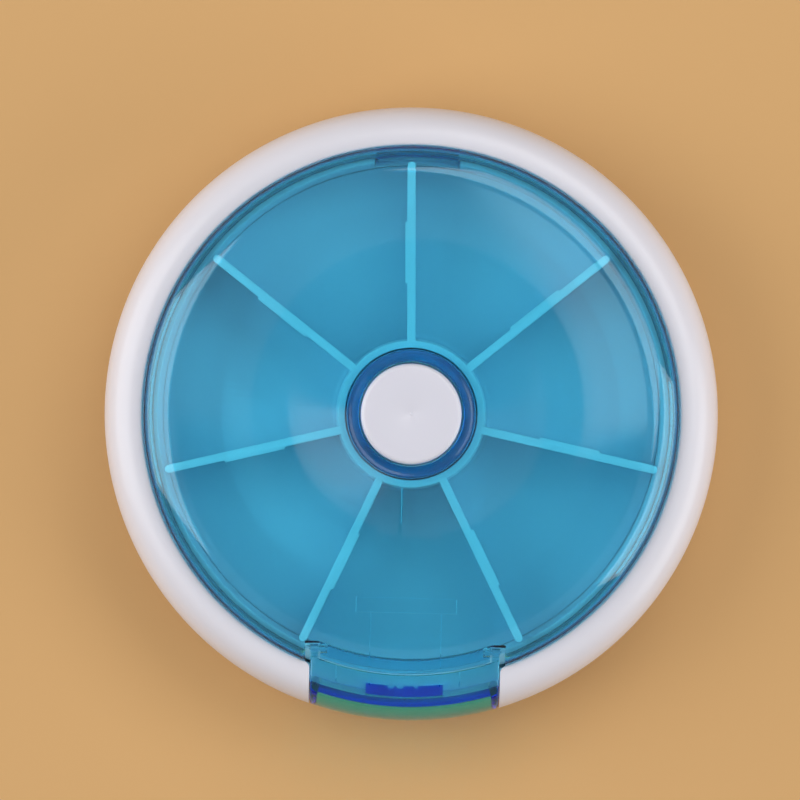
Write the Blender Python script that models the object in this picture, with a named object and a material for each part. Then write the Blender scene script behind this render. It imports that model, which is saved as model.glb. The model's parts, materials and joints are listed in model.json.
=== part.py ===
"""Round weekly pill dispenser: a white two-part casing with a clear blue lid, a turning wheel of seven bays,
a centre push button that steps the wheel on, and a flip-up hatch over one bay.

Run with: blender --background --python part.py
Metres, +Z up, origin under the middle of the foot ring, hatch towards -Y.
"""

import math

import bmesh
import bpy
from mathutils import Matrix, Vector

MM = 0.001

# Driving dimensions, in millimetres.
CASE_R = 45.0            # widest radius of the casing, on the rim ring
HEIGHT = 24.0            # foot to the top of the button
LID_TOP = 22.4           # flat top of the clear lid
SHOULDER_R = 6.0         # rounding of the lid's edge, which ends at 45 degrees
SHOULDER_X = 34.3        # where the flat top starts to round down
LID_T = 1.5              # wall of the lid
LAND_Z = 18.9            # top of the rim ring, and of the hatch
RIM_R = 39.3             # inner edge of the rim ring
BULGE_R = 39.9           # where the rim's flat land starts to round over
BULGE = 2.4              # power of that rounding; 2 is an ellipse and more is squarer
RIM_T = 1.4              # wall of the rim ring and the hatch
RIM_FOOT_Z = 4.3         # lower edge of the rim ring and the hatch
CLEAR = 0.3              # gap left between pieces that touch
MOUTH_HALF = 14.15       # half the width of the gap that the hatch fills
BAYS = 7
WHEEL_R = 37.0
FLOOR_T = 1.4
WHEEL_Z = 4.6            # underside of the wheel's floor
WHEEL_REST = 1.35        # degrees that the wheel stands past the hatch's middle
DIVIDER_TOP = 18.5
DIVIDER_T = 1.2
HUB_R = 10.7
SHELF_Z = 7.2            # top of the wheel's inner shelf, which carries the crown
TOOTH_H = 1.5            # height of the slanted teeth
BUTTON_R = 7.35
SLEEVE_IN = 4.5          # the step sleeve under the button
SLEEVE_OUT = 5.9
POST_R = 4.2             # centre post of the pan
POST_TOP = 14.5
POST_BORE = 2.6          # bore in the post, for the spring
PEG_Y = 7.1              # pegs that hold the click ring
STEPS = 60               # flats round the large turned pieces
SMALL_STEPS = 32         # flats round the small ones

# Places worked out from them.
WHEEL_FLOOR = WHEEL_Z + FLOOR_T
SILL_Z = WHEEL_FLOOR + 1.0
DOOR_HALF = MOUTH_HALF - CLEAR - 0.05
COLLAR_IN = BUTTON_R + 0.35
COLLAR_OUT = COLLAR_IN + 1.6
COLLAR_FOOT = 16.8
FLANGE_LOW = 12.6        # underside of the step sleeve's flange
HUB_IN = COLLAR_OUT + CLEAR
PAN_WALL_IN = WHEEL_R + 0.6
PAN_WALL_OUT = PAN_WALL_IN + 1.4
PAN_WALL_TOP = 15.0
PAN_FLOOR = 2.6
PAN_R = 42.2
LID_EDGE = RIM_R - CLEAR - 0.1
HINGE_Y = -34.3
HINGE_Z = 19.9
FAR = 60.0               # past the object on every side


def polar(radius, degrees):
    angle = math.radians(degrees)
    return (radius * math.cos(angle), radius * math.sin(angle))


def arc(centre, radius, start, end, count, squash=1.0):
    """Points along an arc in a section, from one angle to another; squash scales its height."""
    points = []
    for i in range(count + 1):
        angle = math.radians(start + (end - start) * i / count)
        points.append((centre[0] + radius * math.cos(angle),
                       centre[1] + radius * squash * math.sin(angle)))
    return points


def material(name, colour, roughness, metallic=0.0, alpha=1.0):
    made = bpy.data.materials.new(name)
    made.use_nodes = True
    shader = made.node_tree.nodes["Principled BSDF"]
    shader.inputs["Base Color"].default_value = (*colour, 1.0)
    shader.inputs["Roughness"].default_value = roughness
    shader.inputs["Metallic"].default_value = metallic
    shader.inputs["Alpha"].default_value = alpha
    return made


def add_object(name, mesh, finish=None):
    piece = bpy.data.objects.new(name, mesh)
    bpy.context.scene.collection.objects.link(piece)
    if finish:
        mesh.materials.append(finish)
        mesh.shade_smooth()
        mesh.set_sharp_from_angle(angle=math.radians(35))
    else:
        piece.hide_render = True
        piece.display_type = "WIRE"
    return piece


def add_turned(name, outline, steps=STEPS, finish=None):
    """A section of (radius, height) points turned round Z; it runs down its outer side."""
    on_axis = abs(outline[0][0]) < 1e-9
    mesh = bpy.data.meshes.new(name)
    points = [(radius * MM, 0.0, height * MM) for radius, height in outline]
    edges = [(i, i + 1) for i in range(len(points) - 1)]
    if not on_axis:
        edges.append((len(points) - 1, 0))
    mesh.from_pydata(points, edges, [])
    piece = add_object(name, mesh, finish)
    screw = piece.modifiers.new("turned", "SCREW")
    screw.axis = "Z"
    screw.steps = steps
    screw.render_steps = steps
    screw.use_merge_vertices = True
    screw.merge_threshold = 1e-6
    screw.use_smooth_shade = True
    return piece


def add_from_bmesh(name, shape, finish=None):
    bmesh.ops.recalc_face_normals(shape, faces=shape.faces)
    mesh = bpy.data.meshes.new(name)
    shape.to_mesh(mesh)
    shape.free()
    return add_object(name, mesh, finish)


def put_box(shape, low, high, turn=0.0):
    """A box between two corners, turned about Z by some degrees, added to a bmesh."""
    size = [(b - a) * MM for a, b in zip(low, high)]
    middle = [(a + b) / 2 * MM for a, b in zip(low, high)]
    place = Matrix.Rotation(math.radians(turn), 4, "Z") @ Matrix.Translation(middle)
    place = place @ Matrix.Diagonal((*size, 1.0))
    bmesh.ops.create_cube(shape, size=1.0, matrix=place)


def put_rod(shape, radius, start, end, segments=20):
    """A cylinder between two points, added to a bmesh."""
    start, end = Vector(start) * MM, Vector(end) * MM
    along = end - start
    place = Matrix.Translation((start + end) / 2) @ along.to_track_quat("Z", "Y").to_matrix().to_4x4()
    bmesh.ops.create_cone(shape, cap_ends=True, segments=segments, radius1=radius * MM,
                          radius2=radius * MM, depth=along.length, matrix=place)


def put_plate(shape, outline, low, high):
    """A flat outline of (x, y) points made a plate between two heights, added to a bmesh."""
    corners = [shape.verts.new((x * MM, y * MM, low * MM)) for x, y in outline]
    face = shape.faces.new(corners)
    grown = bmesh.ops.extrude_face_region(shape, geom=[face])
    raised = [v for v in grown["geom"] if isinstance(v, bmesh.types.BMVert)]
    bmesh.ops.translate(shape, verts=raised, vec=(0.0, 0.0, (high - low) * MM))


def add_boxes(name, corners):
    shape = bmesh.new()
    for low, high in corners:
        put_box(shape, low, high)
    return add_from_bmesh(name, shape)


def combine(piece, tool, operation):
    step = piece.modifiers.new(tool.name, "BOOLEAN")
    step.operation = operation
    step.object = tool
    step.solver = "EXACT"
    return piece


def cut(piece, tool):
    return combine(piece, tool, "DIFFERENCE")


def fuse(piece, tool):
    return combine(piece, tool, "UNION")


def arc_block(name, inner, outer, low, high, half_width, side=-1):
    """A block bounded by two radii and two heights, cut straight at x = +-half_width."""
    ring = add_turned(name, [(inner, high), (outer, high), (outer, low), (inner, low)])
    reach = sorted((side * 5.0, side * FAR))
    keep = add_boxes(name + "_keep", [((-half_width, reach[0], low - 1), (half_width, reach[1], high + 1))])
    return combine(ring, keep, "INTERSECT")


def saw_ring(shape, inner, outer, base, height, teeth=BAYS):
    """A closed ring whose one face is a run of slanted teeth; a negative height points them down."""
    steep = 0.08
    slope_steps = 6
    rows = []
    for tooth in range(teeth):
        for i in range(slope_steps + 1):
            part = i / slope_steps
            turn = 360.0 / teeth * (tooth + part * (1.0 - steep))
            rows.append((turn, base + height * (0.15 + 0.85 * part)))
    loops = []
    for turn, top in rows:
        inside, outside = polar(inner, turn), polar(outer, turn)
        loops.append([shape.verts.new((x * MM, y * MM, z * MM)) for (x, y), z in
                      ((inside, base), (outside, base), (outside, top), (inside, top))])
    for here, there in zip(loops, loops[1:] + loops[:1]):
        for i in range(4):
            j = (i + 1) % 4
            shape.faces.new((here[i], here[j], there[j], there[i]))


def bulge(foot, reach, rise, start, end, count):
    """Points along a squarish rounding, from one angle to another; foot is its centre in the section."""
    points = []
    for i in range(count + 1):
        angle = math.radians(start + (end - start) * i / count)
        points.append((foot[0] + reach * math.cos(angle) ** (2 / BULGE),
                       foot[1] + rise * math.sin(angle) ** (2 / BULGE)))
    return points


def rim_section():
    """Outer line shared by the rim ring and the hatch: a flat land that rounds over into the side."""
    side = bulge((BULGE_R, 11.6), CASE_R - BULGE_R, LAND_Z - 11.65, 82, 0, 6)
    return side + [(CASE_R - 0.35, 8.0), (CASE_R - 1.3, RIM_FOOT_Z)]


def rim_inside():
    """Inner line of the same wall, from the foot up to just under the land."""
    side = bulge((BULGE_R, 11.3), CASE_R - RIM_T - BULGE_R, LAND_Z - RIM_T - 11.3, 0, 80, 4)
    return [(CASE_R - RIM_T - 0.3, 8.0)] + side


def make_base_pan(finish):
    lower_edge = arc((PAN_R - 3.6, 4.6), 3.6, 0, -90, 3)
    outline = [
        (0, PAN_FLOOR), (POST_BORE, PAN_FLOOR), (POST_BORE, POST_TOP), (POST_R, POST_TOP),
        (POST_R, PAN_FLOOR),
        (33.0, PAN_FLOOR), (33.0, WHEEL_Z - CLEAR), (35.0, WHEEL_Z - CLEAR), (35.0, PAN_FLOOR),
        (PAN_WALL_IN, PAN_FLOOR), (PAN_WALL_IN, PAN_WALL_TOP), (PAN_WALL_OUT, PAN_WALL_TOP),
        (PAN_WALL_OUT, PAN_FLOOR), (40.8, PAN_FLOOR), (40.8, 6.2), (PAN_R, 6.2),
    ] + lower_edge + [(34.5, 1.0), (34.5, 0.0), (31.0, 0.0), (31.0, 1.0), (0, 1.0)]
    pan = add_turned("base_pan", outline, finish=finish)
    mouth = [((-MOUTH_HALF, -FAR, SILL_Z), (MOUTH_HALF, -30.0, HEIGHT))]
    key_slot = [((-6.3, 30.0, 7.7), (6.3, FAR, HEIGHT))]
    cut(pan, add_boxes("mouth_cut", mouth + key_slot))
    fuse(pan, arc_block("sill", PAN_WALL_IN + 0.1, PAN_R - 0.05, SILL_Z - 1.6, SILL_Z - 0.02, 13.9))
    shape = bmesh.new()
    for side in (-1, 1):
        put_box(shape, (side * 4.0 - 1.05, -0.7, 2.0), (side * 4.0 + 1.05, 0.7, POST_TOP - 0.5))
        put_rod(shape, 0.8, (0, side * PEG_Y, 2.0), (0, side * PEG_Y, 3.8), 12)
    fuse(pan, add_from_bmesh("post_keys", shape))
    return pan


def mouth_plan():
    """The gap in the rim seen from above: straight sides whose inner corners are rounded off."""
    round_r = 1.2
    centre_x = MOUTH_HALF + round_r
    centre_y = -math.sqrt((RIM_R + round_r) ** 2 - centre_x ** 2)
    end = 180.0 - math.degrees(math.atan2(-centre_y, centre_x))
    right = [(MOUTH_HALF, -FAR)] + arc((centre_x, centre_y), round_r, 180, end, 5)
    right.append((right[-1][0] - 0.6, right[-1][1] + 2.0))
    return right + [(-x, y) for x, y in reversed(right)]


def make_rim_ring(finish):
    inside = [(42.6, RIM_FOOT_Z), (42.6, 6.9), (43.2, 7.5)] + rim_inside()
    lip = [(RIM_R, LAND_Z - RIM_T - 0.1), (RIM_R, LAND_Z - 0.35), (RIM_R + 0.35, LAND_Z)]
    ring = add_turned("rim_ring", rim_section() + inside + lip, finish=finish)
    filled = [(40.8, LAND_Z - 0.8), (42.0, LAND_Z - 0.8)]
    filled += [(r - 0.5, z - 0.3) for r, z in rim_section()[2:-1]]
    filled += [(CASE_R - 1.9, RIM_FOOT_Z + 0.4), (42.8, RIM_FOOT_Z + 0.4), (42.8, 6.8), (RIM_R + 0.25, 6.8),
               (RIM_R + 0.25, PAN_WALL_TOP + 0.2), (RIM_R + 0.9, PAN_WALL_TOP + 0.6),
               (RIM_R + 0.9, LAND_Z - 0.8)]
    ends = add_turned("rim_ends", filled)
    slabs = add_boxes("rim_end_slabs", [
        ((MOUTH_HALF + 0.01, -FAR, 0.0), (MOUTH_HALF + 1.4, -20.0, HEIGHT)),
        ((-MOUTH_HALF - 1.4, -FAR, 0.0), (-MOUTH_HALF - 0.01, -20.0, HEIGHT))])
    combine(ends, slabs, "INTERSECT")
    shape = bmesh.new()
    put_plate(shape, mouth_plan(), 0.0, HEIGHT)
    gap = add_from_bmesh("rim_gap", shape)
    cut(ring, gap)
    fuse(ring, ends)
    return ring


def make_clear_lid(finish):
    cove = arc((9.4, LID_TOP - 1.7), 9.4 - COLLAR_IN, 180, 90, 4)
    middle = (SHOULDER_X, LID_TOP - SHOULDER_R)
    shoulder = arc(middle, SHOULDER_R, 90, 45, 4)
    inner_shoulder = arc(middle, SHOULDER_R - LID_T, 45, 90, 4)
    outline = cove + shoulder + [
        (LID_EDGE, 20.2), (LID_EDGE, 17.0), (39.9, 16.6), (39.9, 15.7), (38.7, PAN_WALL_TOP + CLEAR),
        (WHEEL_R + 0.45, PAN_WALL_TOP + CLEAR)] + inner_shoulder + [
        (COLLAR_OUT + 0.6, LID_TOP - LID_T), (COLLAR_OUT, LID_TOP - LID_T - 0.6),
        (COLLAR_OUT, COLLAR_FOOT), (COLLAR_IN, COLLAR_FOOT)]
    lid = add_turned("clear_lid", outline, finish=finish)
    window = add_boxes("lid_window", [((-14.4, -FAR, 10.0), (14.4, -33.0, LAND_Z - 0.05))])
    cut(lid, window)
    outside = add_turned("lid_trim", [(37.4, 30.0), (FAR, 30.0), (FAR, 10.0), (37.4, 10.0)])
    combine(outside, add_boxes("lid_trim_keep", [((-14.4, -FAR - 5, 5.0), (14.4, -5.0, 35.0))]), "INTERSECT")
    cut(lid, outside)
    fuse(lid, arc_block("lintel", 35.6, 37.35, LAND_Z, LID_TOP - LID_T, 12.6))
    fuse(lid, arc_block("lid_key", 37.75, 38.85, 8.0, 16.2, 6.0, side=1))
    shape = bmesh.new()
    for side in (-1, 1):
        put_rod(shape, 1.3, (side * 12.4, HINGE_Y, HINGE_Z), (side * 14.6, HINGE_Y, HINGE_Z))
    pockets = add_from_bmesh("hinge_pockets", shape)
    cut(lid, pockets)
    cut(lid, add_boxes("ear_slots", [
        ((side * 13.5 - 1.1, -FAR, 10.0), (side * 13.5 + 1.1, HINGE_Y + 1.25, HINGE_Z)) for side in (-1, 1)]))
    cut(lid, add_boxes("ear_notches", [
        ((side * 13.5 - 1.1, -FAR, 10.0), (side * 13.5 + 1.1, HINGE_Y - 0.5, HEIGHT)) for side in (-1, 1)]))
    shape = bmesh.new()
    for side in (-1, 1):
        put_rod(shape, 0.7, (side * 11.3, HINGE_Y, HINGE_Z), (side * 13.0, HINGE_Y, HINGE_Z), 14)
    cut(lid, add_from_bmesh("hinge_sockets", shape))
    return lid


def make_hatch_door(finish, hinge):
    rear = PAN_WALL_OUT - 0.8
    plate = [(rear, LAND_Z - RIM_T), (rear, LAND_Z - 0.1)]
    shell_line = rim_section() + [(CASE_R - 1.3 - RIM_T + 0.2, RIM_FOOT_Z)] + rim_inside() + plate
    shell = add_turned("hatch_door", shell_line, finish=finish)
    keep = add_boxes("hatch_keep", [((-DOOR_HALF, -FAR, 0.0), (DOOR_HALF, -20.0, HEIGHT))])
    combine(shell, keep, "INTERSECT")
    cheek_line = [(42.0, LAND_Z - 1.3)] + [(r - 0.5, z - 0.3) for r, z in rim_section()[2:-1]]
    cheek_line += [(CASE_R - 1.9, RIM_FOOT_Z + 0.3), (42.6, RIM_FOOT_Z + 0.3), (42.6, SILL_Z + 0.35),
                   (42.0, SILL_Z + 0.35)]
    cheeks = add_turned("hatch_cheeks", cheek_line)
    combine(cheeks, add_boxes("cheek_slabs", [
        ((side * (DOOR_HALF - 0.65) - 0.6, -FAR, 0.0), (side * (DOOR_HALF - 0.65) + 0.6, -20.0, HEIGHT))
        for side in (-1, 1)]), "INTERSECT")
    fuse(shell, cheeks)
    fuse(shell, arc_block("closure_wall", 41.7, 42.4, SILL_Z + 0.35, LAND_Z - 1.2, DOOR_HALF - 0.5))
    fuse(shell, arc_block("latch_tongue", 39.8, 41.9, SILL_Z + 0.4, LAND_Z - 0.7, 5.65))
    shape = bmesh.new()
    for side in (-1, 1):
        inner, outer = side * (DOOR_HALF - 1.15), side * (DOOR_HALF - 0.05)
        put_rod(shape, 1.0, (inner, HINGE_Y, HINGE_Z), (outer, HINGE_Y, HINGE_Z))
    fuse(shell, add_from_bmesh("knuckles", shape))
    shape = bmesh.new()
    web = [(-0.6, -0.75), (0.75, -0.6), (1.5, -1.2), (4.0, -1.2), (4.0, -2.3), (0.65, -2.3), (0.55, -1.25),
           (-0.3, -1.05)]
    for side in (-1, 1):
        faces = []
        for x in (side * (DOOR_HALF - 1.1), side * (DOOR_HALF - 0.1)):
            ring = [shape.verts.new((x * MM, (HINGE_Y - d) * MM, (HINGE_Z + h) * MM)) for d, h in web]
            faces.append(ring)
            shape.faces.new(ring)
        for i in range(len(web)):
            j = (i + 1) % len(web)
            shape.faces.new((faces[0][i], faces[0][j], faces[1][j], faces[1][i]))
    fuse(shell, add_from_bmesh("ear_webs", shape))
    shape = bmesh.new()
    for side in (-1, 1):
        put_rod(shape, 0.5, (side * 11.6, HINGE_Y, HINGE_Z), (side * 13.2, HINGE_Y, HINGE_Z), 12)
    fuse(shell, add_from_bmesh("hinge_pins", shape))
    hang_on(hinge, shell)
    return shell


def make_pill_wheel(finish, spindle):
    outline = [
        (HUB_IN, DIVIDER_TOP), (HUB_R, DIVIDER_TOP), (HUB_R, WHEEL_FLOOR + 0.6), (HUB_R + 0.6, WHEEL_FLOOR),
        (WHEEL_R - 0.4, WHEEL_FLOOR), (WHEEL_R, WHEEL_FLOOR - 0.4), (WHEEL_R, WHEEL_Z), (6.2, WHEEL_Z),
        (6.2, SHELF_Z), (HUB_IN, SHELF_Z)]
    wheel = add_turned("pill_wheel", outline, finish=finish)
    shape = bmesh.new()
    for bay in range(BAYS):
        turn = 90.0 + WHEEL_REST + 360.0 / BAYS * bay
        half = DIVIDER_T / 2
        end = arc((36.8 - half, 0), half, -90, 90, 4)
        plan = [(10.1, -half)] + end + [(28.0, half), (28.0, half + 0.3), (19.2, half + 0.3), (19.2, half),
                                        (10.1, half)]
        turned = []
        for x, y in plan:
            c, s = polar(1.0, turn)
            turned.append((x * c - y * s, x * s + y * c))
        put_plate(shape, turned, WHEEL_FLOOR - 0.5, DIVIDER_TOP - 0.02)
        put_box(shape, (13.2, -0.5, WHEEL_Z - 0.3), (15.0, 0.5, WHEEL_Z + 0.4), turn)
    fuse(wheel, add_from_bmesh("dividers", shape))
    shape = bmesh.new()
    saw_ring(shape, 6.6, COLLAR_OUT, SHELF_Z - 0.3, TOOTH_H - 0.05)
    fuse(wheel, add_from_bmesh("wheel_crown", shape))
    hang_on(spindle, wheel)
    return wheel


def make_push_button(finish, slide):
    outline = [(0, HEIGHT), (BUTTON_R - 0.7, HEIGHT)]
    outline += arc((BUTTON_R - 0.7, HEIGHT - 0.7), 0.7, 72, 0, 3)
    outline += [(BUTTON_R, COLLAR_FOOT), (6.2, COLLAR_FOOT), (6.2, HEIGHT - 1.5), (1.2, HEIGHT - 1.5),
                (1.2, 17.5), (0, 17.5)]
    button = add_turned("push_button", outline, SMALL_STEPS, finish)
    hang_on(slide, button)
    return button


def make_drive_cam(finish, slide):
    outline = [(SLEEVE_IN, 22.2), (SLEEVE_OUT, 22.2), (SLEEVE_OUT, COLLAR_FOOT - CLEAR),
               (9.0, COLLAR_FOOT - CLEAR), (9.0, FLANGE_LOW), (SLEEVE_OUT, FLANGE_LOW), (SLEEVE_OUT, 8.0),
               (SLEEVE_IN, 8.0)]
    cam = add_turned("drive_cam", outline, SMALL_STEPS, finish)
    shape = bmesh.new()
    saw_ring(shape, 6.5, 8.8, FLANGE_LOW + 0.2, -TOOTH_H - 0.05)
    fuse(cam, add_from_bmesh("cam_crown", shape))
    cut(cam, add_boxes("cam_keyways", [((-5.4, -1.0, 5.0), (5.4, 1.0, 30.0))]))
    hang_on(slide, cam)
    return cam


def make_button_spring(finish):
    mean, wire, turns, per_turn, sides = 1.95, 0.28, 9, 12, 6
    low, high = PAN_FLOOR + CLEAR + wire, HEIGHT - 1.5 - CLEAR - wire
    count = turns * per_turn
    shape = bmesh.new()
    rings = []
    for i in range(count + 1):
        turn = 360.0 * i / per_turn
        along = i / count
        height = low + (high - low) * along
        rings.append([])
        for k in range(sides):
            out, up = polar(wire, 360.0 * k / sides)
            x, y = polar(mean + out, turn)
            rings[-1].append(shape.verts.new((x * MM, y * MM, (height + up) * MM)))
    for here, there in zip(rings, rings[1:]):
        for k in range(sides):
            j = (k + 1) % sides
            shape.faces.new((here[k], here[j], there[j], there[k]))
    shape.faces.new(rings[0])
    shape.faces.new(rings[-1])
    return add_from_bmesh("button_spring", shape, finish)


def make_click_ring(finish):
    low = PAN_FLOOR + CLEAR
    ring = add_turned("click_ring", [(5.6, low + 1.0), (8.6, low + 1.0), (8.6, low), (5.6, low)],
                      SMALL_STEPS, finish)
    shape = bmesh.new()
    for turn in (45.0, 225.0):
        arm = [polar(8.2, turn - 10), polar(8.2, turn + 10)]
        arm += [polar(15.0, turn + 6)] + [polar(15.0, turn - 4 - 8 * i) for i in range(7)]
        arm += [polar(13.2, turn - 52 + 8 * i) for i in range(6)] + [polar(13.2, turn - 8)]
        put_plate(shape, arm, low + 0.02, low + 0.7)
    fuse(ring, add_from_bmesh("click_arms", shape))
    shape = bmesh.new()
    for turn in (45.0, 225.0):
        put_box(shape, (13.35, -0.5, low + 0.3), (14.85, 0.5, WHEEL_Z - 0.6), turn - 47)
    fuse(ring, add_from_bmesh("click_noses", shape))
    shape = bmesh.new()
    for side in (-1, 1):
        put_rod(shape, 1.1, (0, side * PEG_Y, 1.0), (0, side * PEG_Y, 6.0), 12)
    cut(ring, add_from_bmesh("click_holes", shape))
    return ring


def add_axis(name, place):
    """An empty on a joint's axis; the pieces that move on that joint hang on it."""
    axis = bpy.data.objects.new(name, None)
    axis.location = Vector(place) * MM
    bpy.context.scene.collection.objects.link(axis)
    return axis


def hang_on(axis, piece):
    """Parents a piece to its joint's empty and leaves it in place."""
    piece.parent = axis
    piece.location = -axis.location


def main():
    for thing in list(bpy.data.objects):
        bpy.data.objects.remove(thing, do_unlink=True)
    white = material("white_abs", (0.80, 0.79, 0.84), 0.25)
    wheel_white = material("white_polypropylene", (0.78, 0.80, 0.82), 0.4)
    blue = material("clear_blue_styrene", (0.05, 0.32, 0.62), 0.08, alpha=0.5)
    acetal = material("natural_acetal", (0.76, 0.75, 0.70), 0.4)
    steel = material("spring_steel", (0.55, 0.56, 0.58), 0.3, metallic=1.0)

    hinge = add_axis("hatch_axis", (0.0, HINGE_Y, HINGE_Z))
    spindle = add_axis("wheel_axis", (0.0, 0.0, WHEEL_Z))
    slide = add_axis("button_axis", (0.0, 0.0, COLLAR_FOOT))

    make_base_pan(white)
    make_rim_ring(white)
    make_clear_lid(blue)
    make_hatch_door(blue, hinge)
    make_pill_wheel(wheel_white, spindle)
    make_push_button(white, slide)
    make_drive_cam(acetal, slide)
    make_button_spring(steel)
    make_click_ring(acetal)


main()
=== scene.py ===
"""Round weekly pill dispenser, seen from straight above on a pale bench.

The sections follow the box as it is put together: pan, click ring, wheel, spring, step sleeve, button, lid,
hatch and rim ring, and then the bench, the light and the camera. Sizes are in millimetres, a piece's section
is a run of (radius, height) points, and meshes are made in metres.
"""

import json
import math

import bmesh
import bpy
from mathutils import Matrix, Vector


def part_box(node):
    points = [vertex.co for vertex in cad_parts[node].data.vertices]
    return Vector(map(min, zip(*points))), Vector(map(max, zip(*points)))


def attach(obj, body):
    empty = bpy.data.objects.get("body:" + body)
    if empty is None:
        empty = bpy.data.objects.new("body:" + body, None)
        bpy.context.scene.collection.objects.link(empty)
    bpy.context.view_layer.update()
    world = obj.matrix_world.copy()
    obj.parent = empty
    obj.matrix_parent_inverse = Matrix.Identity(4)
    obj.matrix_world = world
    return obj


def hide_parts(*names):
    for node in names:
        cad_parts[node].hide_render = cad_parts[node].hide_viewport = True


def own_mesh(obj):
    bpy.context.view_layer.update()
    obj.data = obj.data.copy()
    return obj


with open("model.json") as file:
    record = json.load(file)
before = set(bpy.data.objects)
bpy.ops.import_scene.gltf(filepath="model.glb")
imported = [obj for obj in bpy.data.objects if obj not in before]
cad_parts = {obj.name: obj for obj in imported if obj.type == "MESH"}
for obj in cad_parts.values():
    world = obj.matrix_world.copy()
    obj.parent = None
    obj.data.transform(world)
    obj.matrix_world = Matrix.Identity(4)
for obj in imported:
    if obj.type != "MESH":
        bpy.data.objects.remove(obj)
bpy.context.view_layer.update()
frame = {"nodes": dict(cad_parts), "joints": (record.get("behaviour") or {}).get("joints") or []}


# ------------------------------------------------------------------------------------------ base pan
# The bottom shell, injection moulded in white ABS: a floor with a foot ring and a hollow centre post, an
# inner wall that closes the bays, a low outer wall that the rim ring snaps over, and a sill under the hatch.

MM = 0.001
FINE = 160                   # flats round a large turned piece
CREASE = math.radians(32)    # an edge that turns more than this stays crisp


def corner(points, steps=5, closed=True):
    """A section with rounded corners: each point is (radius, height) or (radius, height, corner radius)."""
    line = []
    count = len(points)
    for i, point in enumerate(points):
        here = Vector(point[:2])
        bend = point[2] if len(point) > 2 else 0.0
        ends = not closed and i in (0, count - 1)
        if bend <= 0.0 or ends:
            line.append(tuple(here))
            continue
        before = Vector(points[i - 1][:2]) - here
        after = Vector(points[(i + 1) % count][:2]) - here
        half = before.angle(after) / 2
        reach = min(bend / math.tan(half), before.length * 0.49, after.length * 0.49)
        start, end = here + before.normalized() * reach, here + after.normalized() * reach
        middle = here + (before.normalized() + after.normalized()).normalized() * reach / math.cos(half)
        first, last = start - middle, end - middle
        turn = first.angle_signed(last)
        for k in range(steps + 1):
            part = Matrix.Rotation(-turn * k / steps, 2) @ first
            line.append(tuple(middle + part))
    return line


def bow(centre, radius, start, end, count):
    """Points along an arc of a section, between two angles in degrees."""
    angles = [math.radians(start + (end - start) * i / count) for i in range(count + 1)]
    return [(centre[0] + radius * math.cos(a), centre[1] + radius * math.sin(a)) for a in angles]


def to_object(name, shape, clean=True):
    """A bmesh made an object at the origin, closed, with its faces pointing out."""
    if clean:
        bmesh.ops.remove_doubles(shape, verts=shape.verts, dist=1e-7)
    bmesh.ops.recalc_face_normals(shape, faces=shape.faces)
    mesh = bpy.data.meshes.new(name)
    shape.to_mesh(mesh)
    shape.free()
    mesh.shade_smooth()
    mesh.set_sharp_from_angle(angle=CREASE)
    made = bpy.data.objects.new(name, mesh)
    bpy.context.scene.collection.objects.link(made)
    return made


def skin(shape, rows, looped=False):
    """Faces from each row of vertices to the next. The two end rows are closed, or joined if it is looped."""
    count = len(rows[0])
    for here, there in zip(rows, rows[1:] + rows[:1] if looped else rows[1:]):
        for i in range(count):
            j = (i + 1) % count
            shape.faces.new((here[i], here[j], there[j], there[i]))
    if not looped:
        shape.faces.new(rows[0])
        shape.faces.new(rows[-1])


def turned(name, section, steps=FINE):
    """A section turned round Z. One that starts and ends on the axis is solid there."""
    shape = bmesh.new()
    points = [shape.verts.new((r * MM, 0.0, z * MM)) for r, z in section]
    pairs = list(zip(points, points[1:]))
    if section[0][0] > 1e-6:
        pairs.append((points[-1], points[0]))
    edges = [shape.edges.new(pair) for pair in pairs]
    bmesh.ops.spin(shape, geom=points + edges, cent=(0, 0, 0), axis=(0, 0, 1), angle=math.tau,
                   steps=steps, use_merge=True, use_duplicate=False)
    return to_object(name, shape)


def arched(name, section, left, right, columns=48, ease=0.25):
    """A section swept round Z between two planes of constant x, on the -Y side, with its ends eased."""
    shape = bmesh.new()
    count = len(section)
    stations = [(left, ease), (left + ease * 0.13, ease * 0.5), (left + ease * 0.5, ease * 0.13),
                (left + ease, 0.0)]
    stations += [(left + ease + (right - left - 2 * ease) * i / columns, 0.0) for i in range(1, columns)]
    stations += [(right - ease, 0.0), (right - ease * 0.5, ease * 0.13), (right - ease * 0.13, ease * 0.5),
                 (right, ease)]
    points = [Vector(p) for p in section]
    area = sum(a.x * b.y - b.x * a.y for a, b in zip(points, points[1:] + points[:1]))
    inward = []
    for i, point in enumerate(points):
        along = (points[(i + 1) % count] - points[i - 1]).normalized()
        side = Vector((-along.y, along.x))
        inward.append(side if area > 0 else -side)
    rows = []
    for x, shrink in stations:
        row = []
        for point, side in zip(points, inward):
            r, z = point + side * shrink
            row.append(shape.verts.new((x * MM, -math.sqrt(max(r * r - x * x, 0.0)) * MM, z * MM)))
        rows.append(row)
    skin(shape, rows)
    return to_object(name, shape)


def slab(name, boxes):
    """Boxes in one helper object: each is (low corner, high corner, turn about Z in degrees)."""
    shape = bmesh.new()
    for low, high, turn in boxes:
        size = [(b - a) * MM for a, b in zip(low, high)]
        middle = Vector([(a + b) / 2 * MM for a, b in zip(low, high)])
        place = Matrix.Rotation(math.radians(turn), 4, "Z") @ Matrix.Translation(middle)
        bmesh.ops.create_cube(shape, size=1.0, matrix=place @ Matrix.Diagonal((*size, 1.0)))
    return to_object(name, shape, clean=False)


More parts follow.
